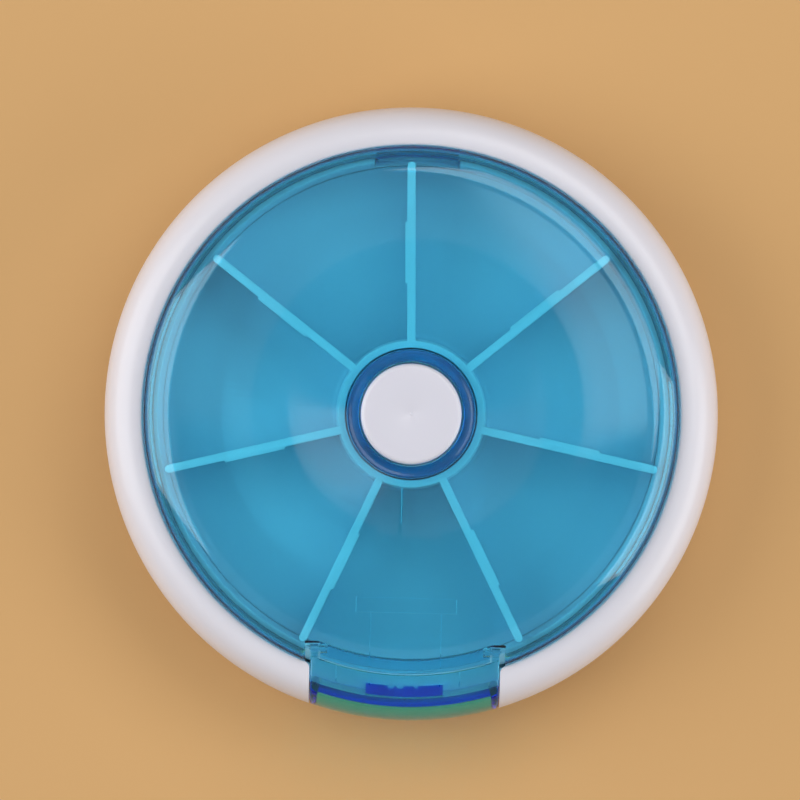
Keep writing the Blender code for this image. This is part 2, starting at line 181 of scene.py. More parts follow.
def merge(piece, helper, how):
    """One exact Boolean, applied; the helper is removed."""
    step = piece.modifiers.new("join", "BOOLEAN")
    step.operation, step.object, step.solver = how, helper, "EXACT"
    bpy.context.view_layer.update()
    result = bpy.data.meshes.new_from_object(piece.evaluated_get(bpy.context.evaluated_depsgraph_get()))
    piece.modifiers.clear()
    old, piece.data = piece.data, result
    result.name = piece.name
    bpy.data.meshes.remove(old)
    bpy.data.objects.remove(helper, do_unlink=True)
    piece.data.materials.clear()
    piece.data.shade_smooth()
    piece.data.set_sharp_from_angle(angle=CREASE)
    return piece


def linear(hex_colour):
    """An sRGB hex colour as the linear values that a shader takes."""
    parts = [int(hex_colour[i:i + 2], 16) / 255 for i in (1, 3, 5)]
    return tuple(c / 12.92 if c <= 0.04045 else ((c + 0.055) / 1.055) ** 2.4 for c in parts) + (1.0,)


def add_node(tree, kind, sockets=None, **settings):
    """Adds one node; sockets holds values or the sockets that feed its inputs."""
    made = tree.nodes.new(kind)
    for key, value in settings.items():
        setattr(made, key, value)
    for key, value in (sockets or {}).items():
        if isinstance(value, bpy.types.NodeSocket):
            tree.links.new(value, made.inputs[key])
        else:
            made.inputs[key].default_value = value
    return made


def new_material(name):
    made = bpy.data.materials.new(name)
    made.use_nodes = True
    made.node_tree.nodes.clear()
    return made, made.node_tree


def white_abs(name, colour, shade):
    """Glossy white ABS off a polished mould: a faint flow mottle 15 mm wide in its colour, soft sink waves
    6 mm apart, and rub marks about 1 mm apart that only show in its gloss."""
    made, tree = new_material(name)
    place = add_node(tree, "ShaderNodeTexCoord").outputs["Object"]
    flow = add_node(tree, "ShaderNodeTexNoise", {"Vector": place, "Scale": 65.0, "Detail": 3.0})
    tint = add_node(tree, "ShaderNodeMix", {0: flow.outputs[0], 6: linear(colour), 7: linear(shade)},
                    data_type="RGBA")
    scuff = add_node(tree, "ShaderNodeTexNoise", {"Vector": place, "Scale": 900.0, "Detail": 4.0})
    gloss = add_node(tree, "ShaderNodeMapRange", {"Value": scuff.outputs[0], "From Min": 0.35,
                                                  "From Max": 0.75, "To Min": 0.275, "To Max": 0.295})
    wave = add_node(tree, "ShaderNodeTexNoise", {"Vector": place, "Scale": 160.0, "Detail": 1.0})
    bump = add_node(tree, "ShaderNodeBump", {"Height": wave.outputs[0], "Strength": 0.03,
                                             "Distance": 0.00005})
    shader = add_node(tree, "ShaderNodeBsdfPrincipled", {
        "Base Color": tint.outputs[2], "Roughness": gloss.outputs[0], "Normal": bump.outputs[0], "IOR": 1.53,
        "Subsurface Weight": 0.08, "Subsurface Radius": (0.0012, 0.001, 0.0009), "Subsurface Scale": 1.0})
    add_node(tree, "ShaderNodeOutputMaterial", {"Surface": shader.outputs[0]})
    return made


def dress(piece, finish, body, slot, *nodes):
    """Gives a finished piece its material and its body, and hides the CAD nodes that it stands for; its slot
    is not used.
    """
    piece.data.materials.clear()
    piece.data.materials.append(finish)
    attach(piece, body)
    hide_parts(*nodes)
    return piece


pan_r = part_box("base_pan")[1].x / MM
pan_wall_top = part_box("base_pan")[1].z / MM
wheel_low, wheel_high = [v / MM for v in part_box("pill_wheel")]
pan_floor, pan_under = 2.6, 1.0
post_in, post_out, post_top = 2.6, 4.2, 14.5
rail_in, rail_out = 33.0, 35.0
rail_top = wheel_low.z - 0.3
bay_wall = wheel_high.x + 0.2
bay_wall_out = bay_wall + 1.8
bay_foot = bay_wall - 0.13
snap_in, snap_top = 40.8, 6.2
foot_in, foot_out = 31.0, 34.5
sill_top = wheel_low.z + 2.4
sill_half = 13.9
mouth_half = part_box("hatch_door")[1].x / MM + 0.15
key_slot_half = 6.3

pan = turned("pan_shell", corner([
    (0, pan_floor), (post_in, pan_floor), (post_in, post_top, 0.3), (post_out, post_top, 0.3),
    (post_out, pan_floor, 0.4), (rail_in, pan_floor, 0.3), (rail_in, rail_top, 0.3),
    (rail_out, rail_top, 0.3), (rail_out, pan_floor, 0.3), (bay_foot, pan_floor, 0.4), (bay_foot, 6.3),
    (bay_wall, 6.5), (bay_wall, pan_wall_top, 0.3), (bay_wall_out, pan_wall_top, 0.3),
    (bay_wall_out, pan_floor, 0.3), (snap_in, pan_floor, 0.3), (snap_in, snap_top, 0.3),
    (pan_r, snap_top, 0.3), (pan_r, pan_under, 3.6), (foot_out, pan_under, 0.3), (foot_out, 0.0, 0.3),
    (foot_in, 0.0, 0.3), (foot_in, pan_under, 0.3), (0, pan_under)], closed=False))
merge(pan, slab("mouth", [((-mouth_half, -60, sill_top), (mouth_half, -30, 30), 0),
                          ((-key_slot_half, 30, 7.7), (key_slot_half, 60, 30), 0)]), "DIFFERENCE")
merge(pan, arched("sill", corner([
    (bay_wall + 0.1, sill_top - 0.02, 0.4), (pan_r - 0.05, sill_top - 0.02, 0.4),
    (pan_r - 0.05, sill_top - 1.6), (bay_wall + 0.1, sill_top - 1.6)]), -sill_half, sill_half), "UNION")
merge(pan, slab("post_keys", [((side * 4.0 - 1.05, -0.7, 2.0), (side * 4.0 + 1.05, 0.7, 14.0), 0)
                              for side in (-1, 1)]), "UNION")
casing_white = white_abs("White ABS", "#E3E1E9", "#DEDCE4")
dress(pan, casing_white, "casing", "white_abs", "base_pan")


# ---------------------------------------------------------------------------------------- click ring
# A flat ring moulded in natural acetal, pegged to the pan's floor. Its two springy arms click over the
# wheel's ribs. It is out of sight in the closed box, so it keeps the CAD's shape and gets its own finish.

def acetal(name):
    """Natural acetal: creamy, satin and a little see-through at its edges, with flow marks 4 mm apart."""
    made, tree = new_material(name)
    place = add_node(tree, "ShaderNodeTexCoord").outputs["Object"]
    flow = add_node(tree, "ShaderNodeTexNoise", {"Vector": place, "Scale": 250.0, "Detail": 3.0})
    tint = add_node(tree, "ShaderNodeMix", {0: flow.outputs[0], 6: linear("#E6E3D8"), 7: linear("#D9D5C8")},
                    data_type="RGBA")
    bump = add_node(tree, "ShaderNodeBump", {"Height": flow.outputs[0], "Strength": 0.2,
                                             "Distance": 0.00004})
    shader = add_node(tree, "ShaderNodeBsdfPrincipled", {
        "Base Color": tint.outputs[2], "Roughness": 0.38, "Normal": bump.outputs[0], "IOR": 1.48,
        "Subsurface Weight": 0.2, "Subsurface Radius": (0.0015, 0.0013, 0.001), "Subsurface Scale": 1.0})
    add_node(tree, "ShaderNodeOutputMaterial", {"Surface": shader.outputs[0]})
    return made


natural_acetal = acetal("Natural acetal")
click_ring = frame["nodes"]["click_ring"]
click_ring.data.materials.clear()
click_ring.data.materials.append(natural_acetal)


# ---------------------------------------------------------------------------------------- pill wheel
# One moulding in white polypropylene: a floor, a hub tube that runs on the lid's collar, a crown for the
# step sleeve and seven dividers, each thicker on one side over part of its length.

def repeat_round(name, unit, count, start):
    """Copies of a mesh turned round Z by Geometry Nodes, made a plain mesh."""
    tree = bpy.data.node_groups.new(name + "_tree", "GeometryNodeTree")
    tree.interface.new_socket("Geometry", in_out="INPUT", socket_type="NodeSocketGeometry")
    number = tree.interface.new_socket("Count", in_out="INPUT", socket_type="NodeSocketInt")
    first = tree.interface.new_socket("First turn", in_out="INPUT", socket_type="NodeSocketFloat")
    tree.interface.new_socket("Geometry", in_out="OUTPUT", socket_type="NodeSocketGeometry")
    given = add_node(tree, "NodeGroupInput")
    points = add_node(tree, "GeometryNodePoints", {"Count": given.outputs["Count"]})
    index = add_node(tree, "GeometryNodeInputIndex")
    pitch = add_node(tree, "ShaderNodeMath", {0: math.tau, 1: given.outputs["Count"]}, operation="DIVIDE")
    turn = add_node(tree, "ShaderNodeMath", {0: index.outputs[0], 1: pitch.outputs[0],
                                             2: given.outputs["First turn"]}, operation="MULTIPLY_ADD")
    spun = add_node(tree, "ShaderNodeCombineXYZ", {"Z": turn.outputs[0]})
    copies = add_node(tree, "GeometryNodeInstanceOnPoints", {
        "Points": points.outputs[0], "Instance": given.outputs["Geometry"], "Rotation": spun.outputs[0]})
    real = add_node(tree, "GeometryNodeRealizeInstances", {"Geometry": copies.outputs[0]})
    coated = add_node(tree, "GeometryNodeSetMaterial", {"Geometry": real.outputs[0],
                                                        "Material": wheel_white})
    add_node(tree, "NodeGroupOutput", {"Geometry": coated.outputs[0]})
    modifier = unit.modifiers.new("round", "NODES")
    modifier.node_group = tree
    modifier[number.identifier] = count
    modifier[first.identifier] = start
    bpy.context.view_layer.update()
    plain = bpy.data.meshes.new_from_object(unit.evaluated_get(bpy.context.evaluated_depsgraph_get()))
    unit.modifiers.clear()
    unit.data = plain
    unit.name = plain.name = name
    return unit


def polypropylene(name, full_shade_to, no_shade_from):
    """White polypropylene: satin and waxy, with a flow mottle 5 mm wide. Its floor is painted greyer, as
    painted shade deep in the bays, and the dividers turn whiter between the two heights."""
    made, tree = new_material(name)
    place = add_node(tree, "ShaderNodeTexCoord").outputs["Object"]
    flow = add_node(tree, "ShaderNodeTexNoise", {"Vector": place, "Scale": 200.0, "Detail": 4.0})
    tint = add_node(tree, "ShaderNodeMix", {0: flow.outputs[0], 6: linear("#EDF1F8"), 7: linear("#E5EBF4")},
                    data_type="RGBA")
    # Painted shade: a greyer colour low in the wheel, fading out between the two heights, stands in for the
    # shade on the bays' floors.
    height = add_node(tree, "ShaderNodeSeparateXYZ", {0: place}).outputs["Z"]
    floor_shade_mask = add_node(tree, "ShaderNodeMapRange", {"Value": height, "From Min": full_shade_to * MM,
                                                  "From Max": no_shade_from * MM},
                     interpolation_type="SMOOTHSTEP")
    tint = add_node(tree, "ShaderNodeMix", {0: floor_shade_mask.outputs[0], 6: linear("#CCD6E4"), 7: tint.outputs[2]},
                    data_type="RGBA")
    gloss = add_node(tree, "ShaderNodeMapRange", {"Value": flow.outputs[0], "To Min": 0.34, "To Max": 0.46})
    bump = add_node(tree, "ShaderNodeBump", {"Height": flow.outputs[0], "Strength": 0.15,
                                             "Distance": 0.00004})
    shader = add_node(tree, "ShaderNodeBsdfPrincipled", {
        "Base Color": tint.outputs[2], "Roughness": gloss.outputs[0], "Normal": bump.outputs[0],
        "IOR": 1.49})
    add_node(tree, "ShaderNodeOutputMaterial", {"Surface": shader.outputs[0]})
    return made


def polar(radius, degrees):
    return (radius * math.cos(math.radians(degrees)), radius * math.sin(math.radians(degrees)))


def crown(name, inner, outer, base, height, per_tooth=8):
    """A ring of slanted teeth, one for each bay; a negative height points them down."""
    pitch = 360 / bays
    root, slope = 0.15, 0.92        # of the height and of the pitch
    shape = bmesh.new()
    loops = []
    for i in range(bays):
        for k in range(per_tooth + 1):
            part = k / per_tooth
            angle = pitch * (i + part * slope)
            top = base + height * (root + (1 - root) * part)
            ends = (polar(inner, angle), polar(outer, angle))
            loops.append([shape.verts.new((x * MM, y * MM, z * MM)) for (x, y), z in
                          ((ends[0], base), (ends[1], base), (ends[1], top), (ends[0], top))])
    skin(shape, loops, looped=True)
    return to_object(name, shape, clean=False)


# The wheel's painted floor shade is full up to 6.2 mm high and gone from 9.5 mm.
wheel_white = polypropylene("White polypropylene", 6.2, 9.5)
bays = 7
rest = 1.35              # degrees that the wheel stands past the hatch's middle
first_divider = 90 + rest
floor_top = wheel_low.z + 1.7
wheel_under = floor_top - 1.4
wheel_r = wheel_high.x
hub_in, hub_out = 9.6, 10.7
crown_bore, crown_floor = 6.2, 7.2

wheel = turned("wheel_body", corner([
    (hub_in, wheel_high.z, 0.15), (hub_out, wheel_high.z, 0.25), (hub_out, floor_top, 0.7),
    (wheel_r, floor_top, 0.15), (wheel_r, wheel_under, 0.15), (crown_bore, wheel_under, 0.2),
    (crown_bore, crown_floor, 0.2), (hub_in, crown_floor)]))

divider_in, divider_out = 10.1, 36.8
divider_half = 0.6
thick_in, thick_out = 19.0, 28.1
thick_half = divider_half + 0.3
edge_round = 0.12
divider_top = wheel_high.z - 0.02
plan = [(divider_in, -divider_half)]
plan += bow((divider_out - divider_half, 0), divider_half, -90, 90, 10)
plan += [(thick_out, divider_half), (thick_out - 0.1, thick_half), (thick_in + 0.1, thick_half),
         (thick_in, divider_half), (divider_in, divider_half)]
divider = bmesh.new()
rows = []
for height, inset in [(floor_top - 0.5, 0.0), (divider_top - edge_round, 0.0),
                      (divider_top - edge_round * 0.3, edge_round * 0.3), (divider_top, edge_round)]:
    row = []
    for x, y in plan:
        pulled_in = x - inset if x > 20 else x
        row.append(divider.verts.new((pulled_in * MM, (y - math.copysign(inset, y)) * MM, height * MM)))
    rows.append(row)
skin(divider, rows)
dividers = repeat_round("dividers", to_object("divider", divider, clean=False), bays,
                        math.radians(first_divider))
merge(wheel, dividers, "UNION")
merge(wheel, slab("click_ribs", [((13.2, -0.5, wheel_low.z), (15.0, 0.5, wheel_under + 0.4),
                                  first_divider + 360 / bays * i) for i in range(bays)]), "UNION")
merge(wheel, crown("wheel_crown", 6.6, 9.3, crown_floor - 0.3, 1.45), "UNION")
dress(wheel, wheel_white, "wheel", "white_polypropylene", "pill_wheel")


# ------------------------------------------------------------------------------------- button spring
# A coil of drawn spring steel, 0.56 mm wire, standing in the pan's centre post. It lifts the button, which
# squashes it along its length when pressed; here the coil keeps the CAD's length and stays with the casing.

def drawn_wire(name):
    """Drawn steel wire: bright, with wear marks about 0.3 mm apart that show as uneven gloss."""
    made, tree = new_material(name)
    place = add_node(tree, "ShaderNodeTexCoord").outputs["Object"]
    marks = add_node(tree, "ShaderNodeTexNoise", {"Vector": place, "Scale": 3000.0, "Detail": 2.0})
    gloss = add_node(tree, "ShaderNodeMapRange", {"Value": marks.outputs[0], "To Min": 0.2, "To Max": 0.4})
    shader = add_node(tree, "ShaderNodeBsdfPrincipled", {
        "Base Color": linear("#B9BBBF"), "Metallic": 1.0, "Roughness": gloss.outputs[0]})
    add_node(tree, "ShaderNodeOutputMaterial", {"Surface": shader.outputs[0]})
    return made


spring_low, spring_high = [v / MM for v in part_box("button_spring")]
spring_length = spring_high.z - spring_low.z
wire_r = 0.28
coil_r = spring_high.x - wire_r
coil_turns, per_turn, sides = 9, 36, 12
coil = bmesh.new()
rings = []
count = coil_turns * per_turn
for i in range(count + 1):
    lift = spring_low.z + wire_r + (spring_length - 2 * wire_r) * i / count
    ring = []
    for k in range(sides):
        out, up = polar(wire_r, 360 * k / sides)
        x, y = polar(coil_r + out, 360 * i / per_turn)
        ring.append(coil.verts.new((x * MM, y * MM, (lift + up) * MM)))
    rings.append(ring)
skin(coil, rings)
spring = dress(to_object("spring_coil", coil, clean=False), drawn_wire("Spring steel"), "casing",
               "spring_steel", "button_spring")
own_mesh(spring)


# --------------------------------------------------------------------------------------- step sleeve
# The sleeve under the button, moulded in natural acetal and keyed to the post. Its flange stops the button
# at the lid's collar, and its slanted teeth push the wheel's crown round.

collar_foot = 16.8
sleeve_foot, sleeve_top = [v.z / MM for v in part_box("drive_cam")]
sleeve_in, sleeve_out = 4.5, 5.9
flange_r = 9.0
flange_low, flange_top = 12.6, collar_foot - 0.3
sleeve = turned("step_sleeve", corner([
    (sleeve_in, sleeve_top, 0.15), (sleeve_out, sleeve_top, 0.15), (sleeve_out, flange_top, 0.2),
    (flange_r, flange_top, 0.2), (flange_r, flange_low, 0.2), (sleeve_out, flange_low, 0.1),
    (sleeve_out, sleeve_foot, 0.15), (sleeve_in, sleeve_foot, 0.15)]), 96)
merge(sleeve, crown("sleeve_crown", 6.5, 8.8, flange_low + 0.2, -1.55), "UNION")
merge(sleeve, slab("keyways", [((-5.4, -1.0, 5.0), (5.4, 1.0, 30.0), 0)]), "DIFFERENCE")
dress(sleeve, natural_acetal, "button", "natural_acetal", "drive_cam")


# --------------------------------------------------------------------------------------- push button
# The white cap in the middle, moulded in glossy ABS with a rounded edge. A small gate mark is left at its
# centre, and a short peg inside centres the spring.

button_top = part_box("push_button")[1].z / MM
button_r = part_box("push_button")[1].x / MM
cap_in, cap_roof = 6.2, button_top - 1.5
peg_r, peg_foot = 1.2, 17.5
gate_mark = [(0, button_top - 0.02), (0.12, button_top - 0.02), (0.2, button_top - 0.08),
             (0.34, button_top - 0.09), (0.46, button_top - 0.03)]
button = turned("button_cap", gate_mark + corner([
    (0.47, button_top - 0.03), (button_r, button_top - 0.05, 0.7), (button_r, collar_foot, 0.15),
    (cap_in, collar_foot, 0.15), (cap_in, cap_roof, 0.4), (peg_r, cap_roof, 0.3), (peg_r, peg_foot, 0.2),
    (0, peg_foot)], closed=False)[1:], 128)
dress(button, white_abs("Button ABS", "#DCDBE6", "#D9D8E3"), "button", "white_abs", "push_button")


# ----------------------------------------------------------------------------------------- clear lid
# The lid, moulded in clear blue styrene and polished. Its shoulder rounds down to a short skirt, its middle
# turns down into the collar that the wheel and the button run on, and its front is cut away for the hinge.

def clear_styrene(name):
    """Clear blue styrene, about 1.5 mm thick: nearly colourless where thin and navy along its edges, because
    the colour is in its depth. Polished, with rub marks about 1 mm apart that only show in its gloss."""
    made, tree = new_material(name)
    place = add_node(tree, "ShaderNodeTexCoord").outputs["Object"]
    rub = add_node(tree, "ShaderNodeTexNoise", {"Vector": place, "Scale": 900.0, "Detail": 4.0})
    gloss = add_node(tree, "ShaderNodeMapRange", {"Value": rub.outputs[0], "From Min": 0.4, "From Max": 0.8,
                                                  "To Min": 0.01, "To Max": 0.035})
    shader = add_node(tree, "ShaderNodeBsdfPrincipled", {
        "Base Color": linear("#FFFFFF"), "Roughness": gloss.outputs[0], "IOR": 1.57,
        "Transmission Weight": 1.0})
    depth = add_node(tree, "ShaderNodeVolumeAbsorption", {"Color": (0.05, 0.845, 0.97, 1.0),
                                                          "Density": 800.0})
    add_node(tree, "ShaderNodeOutputMaterial", {"Surface": shader.outputs[0], "Volume": depth.outputs[0]})
    return made


def rods(name, rows, segments=32):
    """Round rods along the hinge's line, in one helper object: each is (x from, x to, radius)."""
    shape = bmesh.new()
    for start, end, radius in rows:
        centre = Vector(((start + end) / 2, hinge_y, hinge_z)) * MM
        place = Matrix.Translation(centre) @ Matrix.Rotation(math.pi / 2, 4, "Y")
        bmesh.ops.create_cone(shape, cap_ends=True, segments=segments, radius1=radius * MM,
                              radius2=radius * MM, depth=abs(end - start) * MM, matrix=place)
    return to_object(name, shape, clean=False)


def scribe(name, lines, width=0.16):
    """V-shaped cutters for fine lines on a top surface, each a run of points, half as deep as wide."""
    shape = bmesh.new()
    for line in lines:
        points = [Vector(point) for point in line]
        along = points[-1] - points[0]
        side = Vector((-along.y, along.x, 0)).normalized() * width
        rise = Vector((0, 0, width / 2))
        skin(shape, [[shape.verts.new(v * MM) for v in (p - rise, p + side + rise, p - side + rise)]
                     for p in points])
    return to_object(name, shape, clean=False)


lid_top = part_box("clear_lid")[1].z / MM
land = 18.9              # height of the ring's and the hatch's flat top, beside the lid
collar_in, collar_out = button_r + 0.35, 9.3
throat_x, throat_rise = 9.4, 1.7
shoulder_x, shoulder_r, shoulder_in = 34.3, 6.0, 4.6
ceiling_z = lid_top - 1.5
lid_edge = 39.15
skirt_in, skirt_foot = 38.2, 16.6
bead_r, bead_low, bead_high = 39.9, 16.8, 17.3
window_half = 14.4
lintel_in, lintel_out, lintel_half = 35.6, 37.35, 12.6
drip_out, drip_foot = 38.0, 17.6
ear_x, ear_half = 13.5, 1.1
key_in, key_out, key_half = 37.75, 38.85, 6
key_foot, key_top = 8.0, 17.2
hinge = frame["joints"][2]["pos_m"]
hinge_y, hinge_z = hinge[1] / MM, hinge[2] / MM

middle = (shoulder_x, lid_top - shoulder_r)
shoulder = bow(middle, shoulder_r, 90, 45, 14)
under = bow(middle, shoulder_in, 48, 90, 10)
section = bow((throat_x, lid_top - throat_rise), throat_x - collar_in, 180, 90, 14) + shoulder
section += corner([
    shoulder[-1], (lid_edge, 20.0, 0.6), (lid_edge, bead_high, 0.15), (bead_r, bead_high, 0.2),
    (bead_r, bead_low, 0.15), (39.2, skirt_foot, 0.2), (skirt_in, skirt_foot, 0.2), (skirt_in, 18.6, 0.6),
    under[0]], closed=False)[1:-1]
section += under
section += corner([
    under[-1], (collar_out, ceiling_z, 0.25), (collar_out, collar_foot, 0.3), (collar_in, collar_foot, 0.3),
    (collar_in, lid_top - throat_rise)], closed=False)[1:-1]
lid = turned("lid_shell", section)

merge(lid, slab("window", [((-window_half, -60, 10), (window_half, -33, land - 0.05), 0)]), "DIFFERENCE")
merge(lid, arched("trim", [(37.4, 30), (60, 30), (60, 10), (37.4, 10)],
                  -window_half, window_half, 40, 0.001), "DIFFERENCE")
merge(lid, arched("lintel", corner([
    (lintel_in, ceiling_z), (lintel_out, ceiling_z), (lintel_out, 19.6, 0.2), (drip_out, 19.4, 0.2),
    (drip_out, drip_foot, 0.2), (37.1, drip_foot, 0.2), (37.1, land, 0.2), (lintel_in, land, 0.3)]),
                  -lintel_half, lintel_half, 40), "UNION")
key = arched("key_tongue", corner([(key_in, key_top), (key_out, key_top), (key_out, key_foot, 0.3),
                                   (key_in, key_foot, 0.3)]), -key_half, key_half, 20)
key.data.transform(Matrix.Rotation(math.pi, 4, "Z"))
merge(lid, key, "UNION")

# The hatch's knuckles turn in two pockets beside the lintel, and its pins in two blind holes in the lintel.
merge(lid, rods("pockets", [(side * 12.4, side * 14.6, 1.3) for side in (-1, 1)]), "DIFFERENCE")
merge(lid, slab("slots", [((side * ear_x - ear_half, -60, 10),
                           (side * ear_x + ear_half, hinge_y + 1.25, hinge_z), 0)
                          for side in (-1, 1)]), "DIFFERENCE")
merge(lid, slab("notches", [((side * ear_x - ear_half, -60, 10),
                             (side * ear_x + ear_half, hinge_y - 0.5, 30), 0)
                            for side in (-1, 1)]), "DIFFERENCE")
merge(lid, rods("sockets", [(side * 11.3, side * 13.0, 0.7) for side in (-1, 1)]), "DIFFERENCE")

# Fine lines on the flat top, cut as grooves: a T over the front bay, whose stem runs down the shoulder, and
# a hairline in front of the button.
stem_half = 5.15
bar_half = 7.35
bar_front, bar_back = -29.0, -26.9
over = bow(middle, shoulder_r, 90, 55, 7)
merge(lid, scribe("stem_lines", [
    [(x, bar_front - 0.1, lid_top)] + [(x, -math.sqrt(r * r - x * x), z) for r, z in over]
    for x in (-stem_half, stem_half)]), "DIFFERENCE")
merge(lid, scribe("bar_lines", [
    [(-bar_half, y, lid_top), (bar_half, y, lid_top)] for y in (bar_front, bar_back)]
                  + [[(-1.05, -16.0, lid_top), (-1.05, -10.8, lid_top)]]), "DIFFERENCE")
merge(lid, scribe("bar_ends", [
    [(x, bar_front - 0.05, lid_top), (x, bar_back + 0.05, lid_top)]
    for x in (-bar_half + 0.05, bar_half - 0.05)]), "DIFFERENCE")
lid_blue = clear_styrene("Clear blue styrene")
dress(lid, lid_blue, "casing", "clear_blue_styrene", "clear_lid")


# --------------------------------------------------------------------------------------------- hatch
# The flap over the front bay, the same clear blue styrene: a flat top, a front that carries on the ring's
# side, a closure wall and a latch tongue behind it, two cheeks, and two knuckles with pins for the lintel.

case_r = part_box("rim_ring")[1].x / MM
rim_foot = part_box("rim_ring")[0].z / MM
wall = 1.4
brow_r = 39.9            # where the flat top starts to round over
brow_start = 88          # degrees up from the foot; the flat top takes over just short of 90
squareness = 0.833       # below 1, the rounding is fuller than an ellipse
waist, taper = 8.0, 0.35


def side_line(inset, count):
    """The casing's side, a squarish rounding from the land to the foot; inset gives the wall's inner face."""
    foot = 11.3 if inset else 11.6
    reach, rise = case_r - inset - brow_r, land - inset - foot
    line = []
    for i in range(count + 1):
        angle = math.radians(brow_start - brow_start * i / count)
        line.append((brow_r + reach * math.cos(angle) ** squareness,
                     foot + rise * math.sin(angle) ** squareness))
    if inset:
        return line + [(case_r - inset - 0.3, waist), (case_r - inset - 1.1, rim_foot)]
    return line[:-1] + corner([line[-1], (case_r - taper, waist, 6.0), (case_r - 1.3, rim_foot)], 4,
                              closed=False)


def filling(first, bottom):
    """Part of a section that fills the casing's side: its first points, then a line inside the outer face."""
    return first + [(r - 0.5, z - 0.3) for r, z in side_line(0, 12)[4:-1]] + [(case_r - 1.9, bottom)]


door_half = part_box("hatch_door")[1].x / MM
door_rear = 38.2
closure_in, closure_out = 41.5, 42.4
closure_top, closure_foot = land - 1.2, sill_top + 0.35
latch_in, latch_out, latch_half = 39.8, 41.25, 5.65

door = arched("hatch_flap", side_line(0, 18) + list(reversed(side_line(wall, 14)))
              + [(door_rear, land - wall), (door_rear, land - 0.1), (door_rear + 0.1, land)],
              -door_half, door_half, 56)
cheek = filling([(42.0, land - 1.3)], rim_foot + 0.3)
cheek += [(42.6, rim_foot + 0.3), (42.6, closure_foot), (42.0, closure_foot)]
for side in (-1, 1):
    ends = sorted((side * (door_half - 0.05), side * (door_half - 1.25)))
    merge(door, arched("cheek", cheek, ends[0], ends[1], 4, 0.05), "UNION")
merge(door, arched("closure", [(closure_in, closure_top), (closure_out, closure_top),
                               (closure_out, closure_foot), (closure_in, closure_foot)],
                   -door_half + 0.5, door_half - 0.5, 48, 0.02), "UNION")

# The latch tongue has three shallow nicks in its back, from its foot nearly to its top.
latch = arched("latch", [(latch_in, land - 0.7), (latch_out, land - 0.7), (latch_out, sill_top + 0.4),
                         (latch_in, sill_top + 0.4)], -latch_half, latch_half, 24, 0.1)
merge(latch, slab("nicks", [((low, -40.15, 0), (high, -38, land - 1.5), 0)
                            for low, high in ((-2.4, -1.5), (-1.1, -0.1), (1.5, 2.0))]), "DIFFERENCE")
merge(door, latch, "UNION")

# Each knuckle is a short rod on the hinge's line, held by a web under the flat top, with a pin on its inside.
merge(door, rods("knuckles", [(side * (door_half - 1.15), side * (door_half - 0.05), 1.0)
                              for side in (-1, 1)]), "UNION")
web = [(-0.6, -0.75), (0.75, -0.6), (1.5, -1.2), (4.0, -1.2), (4.0, -2.3), (0.65, -2.3), (0.55, -1.25),
       (-0.3, -1.05)]
webs = bmesh.new()
for side in (-1, 1):
    skin(webs, [[webs.verts.new((x * MM, (hinge_y - forward) * MM, (hinge_z + up) * MM))
                 for forward, up in web] for x in (side * (door_half - 1.1), side * (door_half - 0.1))])
merge(door, to_object("webs", webs, clean=False), "UNION")
merge(door, rods("pins", [(side * 11.6, side * 13.2, 0.5) for side in (-1, 1)], 24), "UNION")
merge(door, scribe("tab_lines", [[(x, -35.0, land), (x, -39.7, land)]
                                 for x in (-10.0, -stem_half, stem_half, 8.0)], 0.12), "DIFFERENCE")
dress(door, lid_blue, "hatch", "clear_blue_styrene", "hatch_door")


# ------------------------------------------------------------------------------------------ rim ring
# The C-shaped outer ring, glossy white ABS, hollow from below. It snaps over the pan, holds the lid's skirt
# down and stops at two closed ends beside the hatch.

rim_in = 39.3
lip_round = 0.35
lip = bow((rim_in + lip_round, land - lip_round), lip_round, 180, 90, 6)
ring = turned("ring_shell", side_line(0, 20) + [(42.6, rim_foot), (42.6, 6.9), (43.2, 7.5)]
              + list(reversed(side_line(wall, 14)[:-1])) + [(rim_in, land - wall - 0.1)] + lip, 200)
end_fill = filling([(40.8, land - 0.8), (42.0, land - 0.8)], rim_foot + 0.4)
end_fill += [(42.8, rim_foot + 0.4), (42.8, 6.8), (39.55, 6.8), (39.55, 15.2), (40.2, 15.6),
             (40.2, land - 0.8)]
ends = turned("ring_ends", end_fill, 200)
merge(ends, slab("end_slabs", [((mouth_half + 0.01, -60, 0), (mouth_half + 1.4, -20, 30), 0),
                               ((-mouth_half - 1.4, -60, 0), (-mouth_half - 0.01, -20, 30), 0)]),
      "INTERSECT")

# The gap for the hatch. Its sides are straight, and each turns into the ring's inner edge by a small round.
gap_round = 1.2
out_x = mouth_half + gap_round
out_y = -math.sqrt((rim_in + gap_round) ** 2 - out_x ** 2)
stop = 180 - math.degrees(math.atan2(-out_y, out_x))
right_side = [(mouth_half, -60)] + bow((out_x, out_y), gap_round, 180, stop, 12)
right_side.append((right_side[-1][0] - 0.6, right_side[-1][1] + 2.0))
outline = right_side + [(-x, y) for x, y in reversed(right_side)]
gap = bmesh.new()
skin(gap, [[gap.verts.new((x * MM, y * MM, z * MM)) for x, y in outline] for z in (0, 30)])
merge(ring, to_object("gap", gap, clean=False), "DIFFERENCE")
merge(ring, ends, "UNION")
dress(ring, casing_white, "casing", "white_abs", "rim_ring")


# ------------------------------------------------------------------------------- bench, light, camera
# A plain pale bench top, and a dim even room whose ceiling is dark straight above, where the camera hangs,
# and bright to one side. Three soft boxes draw the bright arcs on the lid's shoulder.

